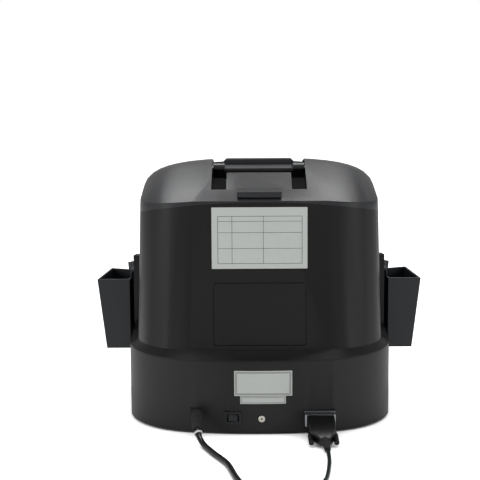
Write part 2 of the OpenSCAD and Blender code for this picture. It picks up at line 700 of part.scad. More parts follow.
module sensor_board() color(board_green) at_fan() union() {
    translate([0, 0, ring_high]) rotate([0, 0, 180 + 3]) rotate_extrude(angle = 174, $fn = 96)
        translate([ring_in + 1, 0]) square([14, 1.6]);
    for (i = [1:CUPS]) rotate([0, 0, -cup_angle / 2 - (i - 1) * cup_pitch])
        box_at([ring_out + 1, -5, ring_high - 4], [ring_out + 7, 5, ring_high + EPS]);
}

// ---------- electrics ----------

module main_board() color(board_green) union() {
    d = back_step + back_lean + shell_wall + 6;
    box_at([-60, from_back(d + 1.6), 96], [60, from_back(d), 164]);
    for (x = [-52, 52], z = [100, 160]) translate([x, from_back(d) - EPS, z]) rotate([-90, 0, 0])
        cylinder(d = 6, h = d - back_step - shell_wall - (z - shell_z) * tan(back_tilt) - 0.1);
    for (p = [[-40, 110, 24, 8], [0, 118, 30, 10], [36, 140, 18, 9], [-34, 145, 28, 6]])
        box_at([p[0] - p[2] / 2, from_back(d + 1.6 + p[3]), p[1] - 7], [p[0] + p[2] / 2, from_back(d + 1.6) + EPS, p[1] + 7]);
}

power_x = [22, 96];
power_d = [42, 112];
power_z = foot_h + plate_t + 6;
module power_board() color(board_green) union() {
    box_at([power_x[0], from_back(power_d[1]), power_z], [power_x[1], from_back(power_d[0]), power_z + 1.6]);
    for (x = [power_x[0] + 5, power_x[1] - 5], d = [power_d[0] + 5, power_d[1] - 5])
        translate([x, from_back(d), foot_h + plate_t]) cylinder(d = 6, h = 6 + EPS);
    for (x = [40, 58, 76]) translate([x, from_back(100), power_z + 1.6 - EPS]) cylinder(d = 12, h = 22);
}

module transformer() color(steel) translate([68, from_back(66), power_z + 1.6]) union() {
    box_at([-22, -10, 0], [22, 10, 37]);
    box_at([-14, -16, 5], [14, 16, 32]);
}

module switch_body() color(black) difference() {
    translate([switch_x, back_y, fit_z]) difference() {
        union() {
            box_at([-7, -16, -5], [7, 0, 5]);
            box_at([-8.6, switch_face, -6.6], [8.6, 1.2, 6.6]);
        }
        box_at([-6, -9, -4], [6, 5, 4]);
    }
    at_rocker() cylinder(r = rocker_pin_r + pin_clear, h = 9.8, center = true);
}

module switch_rocker() color(dark) at_rocker() union() {
    linear_extrude(7, center = true) polygon([[-4.6, 4.7], [0, 3], [4.6, 2.7], [4.6, 1], [0, -3], [-4.6, 1]]);
    cylinder(r = rocker_pin_r, h = 9.4, center = true);
}
module at_rocker() translate([switch_x, back_y - 2.2, fit_z]) children();

module serial_socket() color(steel) translate([serial_x, back_y, fit_z]) union() {
    box_at([-15.4, serial_face, -6.2], [15.4, serial_face + 1, 6.2]);
    box_at([-8.8, -16, -4.8], [8.8, serial_face + EPS, 4.8]);
    box_at([-8.2, serial_face + 1 - EPS, -4], [8.2, 2.4, 4]);
}

module earth_ring() color([0.85, 0.85, 0.82]) translate([ring_x, back_y, ring_z]) rotate([-90, 0, 0]) difference() {
    union() {
        translate([0, 0, 0.05]) cylinder(d = 7, h = 1.3);
        translate([0, 0, -8]) cylinder(d = 3, h = 8.1);
    }
    translate([0, 0, -20]) cylinder(d = 1.6, h = 30);
}

// ---------- cords ----------

module cord_gland() color(black) translate([gland_x, back_y, gland_z]) rotate([-90, 0, 0]) difference() {
    union() {
        translate([0, 0, -14]) cylinder(d = gland_bore - 0.4, h = 12);
        translate([0, 0, gland_face]) cylinder(d = 13, h = 2.5);
        for (k = [0:4]) translate([0, 0, -2.4 + k * 3]) cylinder(d1 = 12 - k * 0.8, d2 = 11 - k * 0.8, h = 2.2);
        translate([0, 0, -3]) cylinder(d = 8, h = 16);
    }
    translate([0, 0, -20]) cylinder(d = mains_d, h = 33);
}

module cord_ring() color([0.85, 0.87, 0.88]) translate([62.6, back_y + 30.6, 11.5]) rotate([0, 0, 18]) rotate([-36, 0, 0])
    rotate([90, 0, 0]) difference() {
        cylinder(d = mains_d + 2.6, h = 2.2, center = true);
        cylinder(d = mains_d + 0.2, h = 5, center = true);
    }

module coil(at, mid, d) translate([at[0], back_y + at[1], 0]) rotate_extrude($fn = 72)
    translate([mid / 2 - coil_side * d / 2, 0]) square([coil_side * d, coil_side * d * 0.92]);

module mains_cord() color(black) {
    tube(behind(mains_route), mains_d / 2, 10);
    tube(behind(mains_tail), mains_d / 2, 10);
}
module mains_coil() color(black) coil(mains_coil_at, mains_coil_mid, mains_d);
module printer_cord() color(dark) {
    tube(behind(printer_route), data_d / 2, 8);
    tube(behind(printer_tail), data_d / 2, 8);
}
module printer_coil() color(dark) coil(printer_coil_at, printer_coil_mid, data_d);

module mains_plug() color(black) translate([102, back_y + 259, 7]) rotate([0, 90, 0]) union() {
    cylinder(d1 = 9, d2 = 12, h = 12);
    translate([0, 0, 12 - EPS]) cylinder(d = 13.8, h = 20);
    translate([0, 0, 32 - EPS]) rotate([0, 0, 90]) for (s = [-1, 1]) translate([s * 4.8, 0, 0]) cylinder(d = 4, h = 19);
}

module printer_plug() color(black) translate([serial_x, back_y, fit_z]) difference() {
    union() {
        box_at([-15.5, 2.6, -6.2], [15.5, 16, 6.2]);
        box_at([-9, 16 - EPS, -6], [9, 33, 6]);
        both_sides_at() translate([12.5, 16 - EPS, 0]) rotate([-90, 0, 0]) cylinder(d = 4.6, h = 10);
        translate([0, 33 - EPS, -1]) rotate([-107, 0, 0]) cylinder(d1 = 8, d2 = 5.4, h = 12.5);
    }
}
module both_sides_at() {
    children();
    mirror([1, 0, 0]) children();
}

module printer_jack() color(black) translate([-101, back_y + 225, 6]) rotate([0, -90, 0]) union() {
    cylinder(d1 = 6, d2 = 9, h = 10);
    translate([0, 0, 10 - EPS]) box_at([-5.9, -8, 0], [5.9, 8, 24]);
}

module coil_ties() color([0.85, 0.85, 0.85]) {
    tie(mains_coil_at, mains_coil_mid, mains_d, 60);
    tie(printer_coil_at, printer_coil_mid, data_d, 120);
}
module tie(at, mid, d, a) {
    side = coil_side * d;
    translate([at[0], back_y + at[1], 0]) rotate([0, 0, a]) difference() {
        box_at([mid / 2 - side / 2 - 1.6, -3, 0], [mid / 2 + side / 2 + 1.2, 3, side * 0.92 + 1.2]);
        box_at([mid / 2 - side / 2 - 0.5, -5, -1], [mid / 2 + side / 2 + 0.1, 5, side * 0.92 + 0.1]);
    }
}

base_shell();
base_plate();
rubber_feet();
base_screws();
upper_shell();
coin_skirt();
top_cover();
control_panel();
hopper_bowl();
hopper_lid();
lid_pins();
service_hatch();
fault_label();
rating_labels();
display_window();
lcd_module();
key_board();
for (i = [1:6]) key(i);
for (i = [1:CUPS]) coin_cup(i);
mechanism_deck();
sorting_ring();
coin_chutes();
coin_disc();
disc_shaft();
shaft_bearings();
bearing_tower();
disc_pulley();
drive_belt();
drive_motor();
motor_pulley();
motor_bracket();
sensor_board();
main_board();
power_board();
transformer();
switch_body();
switch_rocker();
serial_socket();
earth_ring();
cord_gland();
cord_ring();
mains_cord();
mains_coil();
mains_plug();
printer_plug();
printer_cord();
printer_coil();
printer_jack();
coil_ties();
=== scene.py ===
"""Looks of a coin sorting machine: finishes, rounded mouldings, laid and coiled cords, blank labels.

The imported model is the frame. Lengths are in metres unless a name ends in mm.
"""
from __future__ import annotations

import json
import logging
import math
from collections.abc import Callable
from dataclasses import dataclass, field
from enum import Enum

import bmesh
import bpy
from mathutils import Matrix, Vector

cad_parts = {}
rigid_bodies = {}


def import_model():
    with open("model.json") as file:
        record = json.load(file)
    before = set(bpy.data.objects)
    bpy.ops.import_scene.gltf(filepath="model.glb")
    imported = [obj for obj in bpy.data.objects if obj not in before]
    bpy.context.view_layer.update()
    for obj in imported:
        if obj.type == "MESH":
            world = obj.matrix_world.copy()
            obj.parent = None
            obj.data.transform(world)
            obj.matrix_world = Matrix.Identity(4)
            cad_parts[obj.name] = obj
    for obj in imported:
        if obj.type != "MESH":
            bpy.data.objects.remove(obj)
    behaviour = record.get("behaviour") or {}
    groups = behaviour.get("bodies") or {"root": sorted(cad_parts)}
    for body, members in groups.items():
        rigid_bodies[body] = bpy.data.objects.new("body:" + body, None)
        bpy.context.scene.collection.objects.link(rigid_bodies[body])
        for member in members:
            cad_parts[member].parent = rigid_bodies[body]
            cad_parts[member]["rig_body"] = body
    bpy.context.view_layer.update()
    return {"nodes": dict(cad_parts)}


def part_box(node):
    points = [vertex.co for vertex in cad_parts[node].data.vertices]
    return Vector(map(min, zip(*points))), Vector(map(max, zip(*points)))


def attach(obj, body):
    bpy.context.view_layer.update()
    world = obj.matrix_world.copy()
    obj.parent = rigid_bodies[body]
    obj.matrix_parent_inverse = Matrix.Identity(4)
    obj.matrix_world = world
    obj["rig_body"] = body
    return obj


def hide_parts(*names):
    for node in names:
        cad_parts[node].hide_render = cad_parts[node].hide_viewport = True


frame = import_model()
LOG = logging.getLogger("coin_sorter")
MM = 0.001
NODES = frame["nodes"]
# Points closer than this are one point, and faces that turn less than this are one face.
MERGE = 2e-5
FLAT_DEG = 0.6
# Spread of a finish's roughness, and how deep its grain is for its width.
ROUGH_SPREAD = 0.05
GRAIN_DEPTH = 0.25
CLOUD_SCALE = 22.0
# Steps round one turn of a coil, and how far apart its turns lie for their diameter.
TURN_STEPS = 36
TURN_PITCH = 1.03
# Rings of the mains lead's strain relief.
BOOT_RIBS = 7
SCREW_SPREAD = 0.012
# Printed lines: how far they stand off the housing, how thick they are, and the length of one face.
LABEL_FACE = 0.00042
PRINT_THICK = 0.00006
PRINT_STEP = 0.004
DISC_RIBS = 72


class Pattern(Enum):
    """What the surface of a finish is like close up."""

    MOULDED = "spark-eroded mould texture"
    BRUSHED = "lines from brushing or rolling"
    POLISHED = "smooth"
    SHEATH = "extruded cord sheath"


def linear(code: str) -> tuple[float, float, float, float]:
    """Turns an sRGB hex colour into linear red, green, blue and alpha.

    Args:
        code: Six hex digits, with or without a leading hash.

    Returns:
        The colour as Blender's sockets take it.
    """
    digits = code.lstrip("#")
    parts = [int(digits[i : i + 2], 16) / 255 for i in (0, 2, 4)]
    return (*[p / 12.92 if p <= 0.04045 else ((p + 0.055) / 1.055) ** 2.4 for p in parts], 1.0)


def add_node(tree: bpy.types.NodeTree, kind: str, settings: dict | None = None, links: dict | None = None):
    """Adds one node with its settings, and links or values for its inputs.

    Args:
        tree: The node tree that gets the node.
        kind: Blender's identifier of the node type.
        settings: Properties of the node by name.
        links: Input name or number, to an output socket or a plain value.

    Returns:
        The new node.
    """
    node = tree.nodes.new(kind)
    for name, value in (settings or {}).items():
        setattr(node, name, value)
    for name, value in (links or {}).items():
        if isinstance(value, bpy.types.NodeSocket):
            tree.links.new(value, node.inputs[name])
        else:
            node.inputs[name].default_value = value
    return node


@dataclass(frozen=True)
class Finish:
    """One real material and how its surface was made, or a colour that stands for painted shade or painted top
    light.
    """

    name: str
    colour: str
    roughness: float = 0.5
    metallic: float = 0.0
    pattern: Pattern = Pattern.MOULDED
    grain_mm: float = 0.8
    depth: float = 0.1
    shade: float = 0.12
    coat: float = 0.0
    ior: float = 1.5

    def build(self) -> bpy.types.Material:
        """Makes the node material, or finds it if it is already there."""
        if self.name in bpy.data.materials:
            return bpy.data.materials[self.name]
        material = bpy.data.materials.new(self.name)
        material.use_nodes = True
        tree = material.node_tree
        tree.nodes.clear()
        spot = add_node(tree, "ShaderNodeTexCoord").outputs["Object"]
        stretch = (1.0, 1.0, 0.04) if self.pattern is Pattern.BRUSHED else (1.0, 1.0, 1.0)
        mapped = add_node(tree, "ShaderNodeMapping", links={"Vector": spot, "Scale": stretch}).outputs[0]
        grain = add_node(tree, "ShaderNodeTexNoise", links={
            "Vector": mapped, "Scale": 1 / (self.grain_mm * MM), "Detail": 3.0, "Roughness": 0.6})
        cloud = add_node(tree, "ShaderNodeTexNoise", links={
            "Vector": spot, "Scale": CLOUD_SCALE, "Detail": 4.0})
        dark = tuple(c * (1 - self.shade) for c in linear(self.colour)[:3]) + (1.0,)
        light = tuple(min(1.0, c * (1 + self.shade)) for c in linear(self.colour)[:3]) + (1.0,)
        ramp = add_node(tree, "ShaderNodeMix", {"data_type": "RGBA"}, {
            0: cloud.outputs[0], 6: dark, 7: light})
        rough = add_node(tree, "ShaderNodeMapRange", links={
            0: grain.outputs[0], 1: 0.25, 2: 0.75, 3: max(0.02, self.roughness - ROUGH_SPREAD),
            4: min(1.0, self.roughness + ROUGH_SPREAD)})
        bump = add_node(tree, "ShaderNodeBump", links={
            "Strength": self.depth, "Distance": self.grain_mm * MM * GRAIN_DEPTH, "Height": grain.outputs[0]})
        shader = add_node(tree, "ShaderNodeBsdfPrincipled", links={
            "Base Color": ramp.outputs[2], "Roughness": rough.outputs[0], "Normal": bump.outputs[0],
            "Metallic": self.metallic, "IOR": self.ior, "Coat Weight": self.coat})
        add_node(tree, "ShaderNodeOutputMaterial", links={"Surface": shader.outputs[0]})
        return material


# ABS with a fine spark-eroded texture: a soft broken sheen on near-black plastic.
HOUSING = Finish("black_moulded_abs", "#0c0b0b", 0.36, grain_mm=0.7, depth=0.14, ior=1.42)
BASE_HOUSING = Finish("charcoal_moulded_abs", "#171718", 0.36, grain_mm=0.8, depth=0.16, ior=1.45)
# Painted top light: the top cover and lid are coloured lighter than the rear housing, for the light that falls
# on them from above.
TOP_LIT_HOUSING = Finish("top_lit_satin_abs", "#222326", 0.3, grain_mm=0.7, depth=0.1, ior=1.52)
# Cups and inner mouldings in a bluish ABS that is smoother than the housing.
CUP_ABS = Finish("slate_moulded_abs", "#1e2226", 0.34, grain_mm=0.6, depth=0.08)
PIT_ABS = Finish("dark_gloss_abs", "#08090a", 0.3, grain_mm=0.6, depth=0.05)
# Painted shade: near-black colour for the recesses of the top cover and the shadowed gap under the lid's bar.
PAINTED_SHADE = Finish("painted_shade_black", "#040404", 0.8, grain_mm=0.8, depth=0.2, ior=1.2)
KEY_ABS = Finish("grey_moulded_abs", "#8b8e92", 0.45, grain_mm=0.5, depth=0.08)
RUBBER = Finish("black_rubber", "#1a1a1a", 0.8, grain_mm=0.5, depth=0.2)
PVC = Finish("black_soft_pvc", "#0f0f11", 0.24, pattern=Pattern.SHEATH, grain_mm=1.2, depth=0.1)
DARK_PVC = Finish("slate_soft_pvc", "#1c2323", 0.34, pattern=Pattern.SHEATH, grain_mm=1.0, depth=0.1)
LABEL = Finish("silver_polyester_film", "#c6cac6", 0.34, grain_mm=0.4, depth=0.03, shade=0.03, coat=0.2)
INK = Finish("grey_screen_ink", "#565c60", 0.5, grain_mm=0.3, depth=0.02, shade=0.05)
STEEL = Finish("zinc_plated_steel", "#b9bcc0", 0.3, 1.0, Pattern.BRUSHED, 0.5, 0.1, 0.06)
DARK_STEEL = Finish("black_powder_coated_steel", "#202123", 0.55, grain_mm=0.9, depth=0.25)
BOARD = Finish("green_solder_mask", "#1f5a36", 0.35, grain_mm=1.4, depth=0.08, coat=0.3)
GLASS = Finish("smoked_acrylic", "#10171a", 0.08, pattern=Pattern.POLISHED, grain_mm=3.0, depth=0.01,
               coat=0.5)
PALE = Finish("pale_nylon", "#d4d6d4", 0.35, grain_mm=0.5, depth=0.05, shade=0.04)
BRASS = Finish("nickel_plated_brass", "#d9d6cc", 0.22, 1.0, Pattern.POLISHED, 0.6, 0.03, 0.04)


def link(name: str, mesh: bpy.types.Mesh, finish: Finish, smooth: float = 35.0) -> bpy.types.Object:
    """Puts a mesh in the scene as an object with one finish.

    Args:
        name: The object's name.
        mesh: Its mesh, already in place.
        finish: The finish of all its faces.
        smooth: Angle in degrees below which edges are shaded smooth.

    Returns:
        The new object.
    """
    thing = bpy.data.objects.new(name, mesh)
    bpy.context.scene.collection.objects.link(thing)
    mesh.materials.clear()
    mesh.materials.append(finish.build())
    mesh.shade_smooth()
    mesh.set_sharp_from_angle(angle=math.radians(smooth))
    return thing


def bake(thing: bpy.types.Object) -> bpy.types.Object:
    """Applies an object's modifiers to its own mesh."""
    graph = bpy.context.evaluated_depsgraph_get()
    mesh = bpy.data.meshes.new_from_object(thing.evaluated_get(graph))
    thing.modifiers.clear()
    old = thing.data
    thing.data = mesh
    if old.users == 0:
        (bpy.data.meshes if isinstance(old, bpy.types.Mesh) else bpy.data.curves).remove(old)
    return thing


def place(thing: bpy.types.Object, body: str) -> bpy.types.Object:
    """Rides a piece on a body."""
    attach(thing, body)
    LOG.info("%s rides on %s", thing.name, body)
    return thing


def softened(node: str, finish: Finish, width_mm: float, smooth: float = 32.0,
             segments: int = 2) -> bpy.types.Object:
    """Makes a copy of a CAD node with its edges rounded, and lets it stand for the node.

    Args:
        node: The CAD node.
        finish: Its finish.
        width_mm: Width of the rounding in millimetres.
        smooth: Angle in degrees below which a curved face is smooth.
        segments: Faces across each rounding.

    Returns:
        The rounded piece.
    """
    source = NODES[node]
    mesh = source.data.copy()
    form = bmesh.new()
    form.from_mesh(mesh)
    bmesh.ops.remove_doubles(form, verts=form.verts, dist=MERGE)
    bmesh.ops.dissolve_degenerate(form, dist=MERGE, edges=form.edges)
    bmesh.ops.dissolve_limit(form, angle_limit=math.radians(FLAT_DEG), verts=form.verts, edges=form.edges)
    form.to_mesh(mesh)
    form.free()
    piece = link(node + "_moulding", mesh, finish, smooth)
    bevel = piece.modifiers.new("rounding", "BEVEL")
    bevel.width = width_mm * MM
    bevel.segments = segments
    bevel.limit_method = "ANGLE"
    bevel.angle_limit = math.radians(smooth)
    bevel.harden_normals = True
    bevel.use_clamp_overlap = True
    bake(piece)
    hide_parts(node)
    return place(piece, source["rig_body"])


def paint_shade(piece: bpy.types.Object, finish: Finish, low: tuple, high: tuple, fall: float = 0.0) -> None:
    """Paints shade on the faces in a region by giving them another finish, cutting larger faces at its limits.

    Args:
        piece: The piece.
        finish: The dark finish that paints the region's shade.
        low: Lowest corner of the region in millimetres, mirrored across x.
        high: Highest corner, mirrored across x.
        fall: How fast the region's upper limit falls towards the back.
    """
    form = bmesh.new()
    form.from_mesh(piece.data)
    piece.data.materials.append(finish.build())
    for y in (low[1], high[1]):
        near = [f for f in form.faces if all(low[2] < v.co.z / MM < high[2] for v in f.verts)]
        parts = list({e for f in near for e in f.edges}) + near + list({v for f in near for v in f.verts})
        bmesh.ops.bisect_plane(form, geom=parts, dist=1e-6, plane_co=(0, y * MM, 0), plane_no=(0, 1, 0))
    for face in form.faces:
        spot = face.calc_center_median() / MM
        ceiling = high[2] - fall * (spot.y - low[1])
        if low[0] < abs(spot.x) < high[0] and low[1] < spot.y < high[1] and low[2] < spot.z < ceiling:
            face.material_index = len(piece.data.materials) - 1
    form.to_mesh(piece.data)
    form.free()


def solid(name: str, corners: list, faces: list, finish: Finish, bevel_mm: float = 0.0) -> bpy.types.Object:
    """Makes a piece from points and faces, with rounded edges if a width is given."""
    mesh = bpy.data.meshes.new(name)
    mesh.from_pydata([tuple(c) for c in corners], [], faces)
    form = bmesh.new()
    form.from_mesh(mesh)
    bmesh.ops.recalc_face_normals(form, faces=form.faces)
    form.to_mesh(mesh)
    form.free()
    piece = link(name, mesh, finish)
    if bevel_mm:
        edge = piece.modifiers.new("rounding", "BEVEL")
        edge.width = bevel_mm * MM
        edge.segments = 2
        edge.harden_normals = True
        bake(piece)
    return piece


def tube(name: str, points: list[Vector], diameter: float, finish: Finish) -> bpy.types.Object:
    """Makes a round cord as a curve of one open spline through the points."""
    curve = bpy.data.curves.new(name, "CURVE")
    curve.dimensions = "3D"
    curve.bevel_depth = diameter / 2
    curve.bevel_resolution = 3
    curve.use_fill_caps = True
    line = curve.splines.new("POLY")
    line.points.add(len(points) - 1)
    for target, point in zip(line.points, points):
        target.co = (*point, 1.0)
    line.use_smooth = True
    cord = bpy.data.objects.new(name, curve)
    bpy.context.scene.collection.objects.link(cord)
    curve.materials.append(finish.build())
    return cord


def swept(name: str, line: list[Vector], radii: list[float], finish: Finish,
          sides: int = 36) -> bpy.types.Object:
    """Makes a closed round piece that follows a line and changes its radius along it.

    Args:
        name: The piece's name.
        line: The points of its middle.
        radii: The radius at each point.
        finish: Its finish.
        sides: Faces around it.

    Returns:
        The piece.
    """
    corners: list[Vector] = []
    for k, (point, radius) in enumerate(zip(line, radii)):
        ahead = (line[min(k + 1, len(line) - 1)] - line[max(k - 1, 0)]).normalized()
        side = (Vector((1, 0, 0)) - ahead * ahead.x).normalized()
        up = ahead.cross(side)
        for j in range(sides):
            angle = 2 * math.pi * j / sides
            corners.append(point + (side * math.cos(angle) + up * math.sin(angle)) * radius)
    rounds = range(0, (len(line) - 1) * sides, sides)
    faces = [(a + j, a + (j + 1) % sides, a + sides + (j + 1) % sides, a + sides + j)
             for a in rounds for j in range(sides)]
    last = (len(line) - 1) * sides
    faces += [tuple(range(sides)), tuple(range(last, last + sides))]
    return solid(name, corners, faces, finish)


def smooth_line(points: list[Vector], steps: int) -> list[Vector]:
    """Runs a Catmull-Rom curve through the points.

    Args:
        points: The points that the curve passes.
        steps: Pieces between each two points.

    Returns:
        The curve's own points, ends included.
    """
    line = []
    for i in range(len(points) - 1):
        a = points[max(i - 1, 0)]
        b, c = points[i], points[i + 1]
        d = points[min(i + 2, len(points) - 1)]
        for k in range(steps):
            t = k / steps
            line.append(0.5 * (2 * b + (c - a) * t + (2 * a - 5 * b + 4 * c - d) * t * t
                               + (3 * b - a - 3 * c + d) * t ** 3))
    return line + [points[-1]]


@dataclass
class Studio:
    """Camera, lamps and the white surroundings."""

    back: float
    lens_mm: float = 123.75
    distance: float = 1.6185
    height: float = 0.5127
    aside: float = 0.01049
    pitch: float = 10.843
    turn: float = 0.324
    roll: float = -0.372

    def camera(self) -> None:
        """Sets the camera behind the machine, looking slightly down."""
        data = bpy.data.cameras.new("camera")
        data.lens = self.lens_mm
        data.clip_end = 20
        eye = bpy.data.objects.new("camera", data)
        bpy.context.scene.collection.objects.link(eye)
        turn = Matrix.Rotation(math.radians(180 + self.turn), 4, "Z")
        tilt = Matrix.Rotation(math.radians(90 - self.pitch), 4, "X")
        roll = Matrix.Rotation(math.radians(self.roll), 4, "Z")
        spot = Matrix.Translation((self.aside, self.back + self.distance, self.height))
        eye.matrix_world = spot @ turn @ tilt @ roll
        bpy.context.scene.camera = eye

    def lamp(self, name: str, spot: tuple, size: float, power: float) -> None:
        """Adds a soft square lamp that faces the machine's middle."""
        data = bpy.data.lights.new(name, "AREA")
        data.shape = "SQUARE"
        data.size = size
        data.energy = power
        lamp = bpy.data.objects.new(name, data)
        lamp.location = spot
        lamp.rotation_euler = (Vector((0, 0, 0.15)) - Vector(spot)).to_track_quat("-Z", "Y").to_euler()
        bpy.context.scene.collection.objects.link(lamp)

    def strip(self, name: str, start: tuple, end: tuple, width: float, power: float) -> None:
        """Adds a long narrow lamp between two points, which draws a streak on the sloping cover."""
        data = bpy.data.lights.new(name, "AREA")
        data.shape = "RECTANGLE"
        data.size = (Vector(end) - Vector(start)).length
        data.size_y = width
        data.energy = power
        lamp = bpy.data.objects.new(name, data)
        middle = (Vector(start) + Vector(end)) / 2
        along = (Vector(end) - Vector(start)).normalized()
        away = (middle - Vector((0, 0, 0.2))).normalized()
        away = (away - along * away.dot(along)).normalized()
        turn = Matrix((along, away.cross(along), away)).transposed().to_4x4()
        lamp.matrix_world = Matrix.Translation(middle) @ turn
        bpy.context.scene.collection.objects.link(lamp)

    def white_surface(self) -> bpy.types.Material:
        """Makes a floor finish that is white to the camera, with a painted contact shadow close under the
        machine.
        """
        material = bpy.data.materials.new("white_paper_sweep")
        material.use_nodes = True
        tree = material.node_tree
        tree.nodes.clear()
        path = add_node(tree, "ShaderNodeLightPath")
        paper = add_node(tree, "ShaderNodeBsdfDiffuse", links={"Color": (0.86, 0.86, 0.86, 1.0)})
        # Painted contact shadow: ambient occlusion dims the floor's glow close under the machine.
        contact_shade = add_node(tree, "ShaderNodeAmbientOcclusion", {"samples": 8}, {"Distance": 0.03})
        level = add_node(tree, "ShaderNodeMapRange", links={
            0: contact_shade.outputs["AO"], 1: 0.15, 2: 0.85, 3: 0.0, 4: 0.95})
        glow = add_node(tree, "ShaderNodeEmission", links={
            "Color": (1, 1, 1, 1), "Strength": level.outputs[0]})
        both = add_node(tree, "ShaderNodeAddShader", links={0: paper.outputs[0], 1: glow.outputs[0]})
        mix = add_node(tree, "ShaderNodeMixShader", links={
            0: path.outputs["Is Camera Ray"], 1: paper.outputs[0], 2: both.outputs[0]})
        add_node(tree, "ShaderNodeOutputMaterial", links={"Surface": mix.outputs[0]})
        return material

    def surroundings(self) -> None:
        """Adds the floor, the world and the lamps."""
        mesh = bpy.data.meshes.new("floor")
        mesh.from_pydata([(-6, -6, 0), (6, -6, 0), (6, 6, 0), (-6, 6, 0)], [], [(0, 1, 2, 3)])
        floor = bpy.data.objects.new("floor", mesh)
        mesh.materials.append(self.white_surface())
        bpy.context.scene.collection.objects.link(floor)
        world = bpy.data.worlds.new("studio")
        world.use_nodes = True
        tree = world.node_tree
        tree.nodes.clear()
        path = add_node(tree, "ShaderNodeLightPath")
        seen = add_node(tree, "ShaderNodeMath", {"operation": "MAXIMUM"}, {
            0: path.outputs["Is Camera Ray"], 1: path.outputs["Is Transmission Ray"]})
        dim = add_node(tree, "ShaderNodeBackground", links={"Color": (1, 1, 1, 1), "Strength": 0.34})
        bright = add_node(tree, "ShaderNodeBackground", links={"Color": (1, 1, 1, 1), "Strength": 1.0})
        mix = add_node(tree, "ShaderNodeMixShader", links={
            0: seen.outputs[0], 1: dim.outputs[0], 2: bright.outputs[0]})
        add_node(tree, "ShaderNodeOutputWorld", links={"Surface": mix.outputs[0]})
        bpy.context.scene.world = world
        self.lamp("overhead_softbox", (0.0, -0.2, 1.5), 0.7, 11)
        self.lamp("left_softbox", (1.5, 0.9, 0.7), 0.7, 11)
        self.lamp("right_softbox", (-1.5, 0.9, 0.7), 0.7, 9)
        self.strip("left_streak", (0.14, -1.36, 1.3), (0.52, -1.72, 1.3), 0.05, 1.5)
        self.strip("right_streak", (-0.14, -1.36, 1.3), (-0.52, -1.72, 1.3), 0.05, 1.5)
        bpy.context.scene.view_settings.view_transform = "Standard"


@dataclass
class Lead:
    """A cord: a hand-laid stretch, a tied coil and a short tail to what is on its far end."""

    name: str
    diameter: float
    back: float
    route_mm: list
    tail_mm: list
    coil_mm: tuple
    mean_mm: float
    finish: Finish
    far_end: str
    stiffness: str
    with_pieces: list = field(default_factory=list)
    order: list = field(default_factory=list)

    def laid(self, points_mm: list) -> list[Vector]:
        """Turns points measured from the machine's back into points of the frame."""
        return [Vector((x * MM, self.back + y * MM, z * MM)) for x, y, z in points_mm]

    def coil(self) -> list[Vector]:
        """Winds the coil lane by lane and layer by layer, ending a quarter turn past a full one.

        Returns:
            The points of the turns, from the stretch's end to the tail's start.
        """
        pitch = self.diameter * TURN_PITCH
        centre = Vector((self.coil_mm[0] * MM, self.back + self.coil_mm[1] * MM, 0))
        left = self.route_mm[-1][0] < self.coil_mm[0]
        first, way = (math.pi, -1) if left else (0.0, 1)
        wound = []
        for k in range(int((len(self.order) - 0.75) * TURN_STEPS) + 1):
            lane, layer = self.lane(k / TURN_STEPS)
            radius = self.mean_mm * MM / 2 + (lane - 1) * pitch
            angle = first + way * k / TURN_STEPS * 2 * math.pi
            height = self.diameter / 2 + layer * pitch
            wound.append(centre + Vector((radius * math.cos(angle), radius * math.sin(angle), height)))
        return wound

    def lane(self, turn: float) -> tuple[float, float]:
        """Gives the lane from the inside and the layer of a turn, eased where the cord changes over."""
        index = min(int(turn), len(self.order) - 1)
        here = self.order[index]
        after = self.order[min(index + 1, len(self.order) - 1)]
        start, end = self.window(here, after)
        part = min(max((turn - index - start) / (end - start), 0.0), 1.0)
        ease = part * part * (3 - 2 * part)
        return tuple(a + (b - a) * ease for a, b in zip(here, after))

    def window(self, here: tuple, after: tuple) -> tuple[float, float]:
        """Gives the part of a turn in which the cord changes over, so that no two turns cross."""
        if after[1] > 1 or here[1] > 1:
            return 0.0, 0.2
        if here[1] == after[1] == 1:
            return 0.24, 0.46
        return (0.48, 0.7) if after[1] > here[1] else (0.72, 0.98)

    def build(self) -> bpy.types.Object:
        wound = self.coil()
        stretch = smooth_line(self.laid(self.route_mm), 3)[:-1]
        points = stretch + wound + smooth_line([wound[-1]] + self.laid(self.tail_mm), 3)[1:]
        cord = tube(self.name + "_sheath", points, self.diameter, self.finish)
        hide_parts(self.name + "_cord", self.name + "_coil")
        place(cord, "root")
        return cord


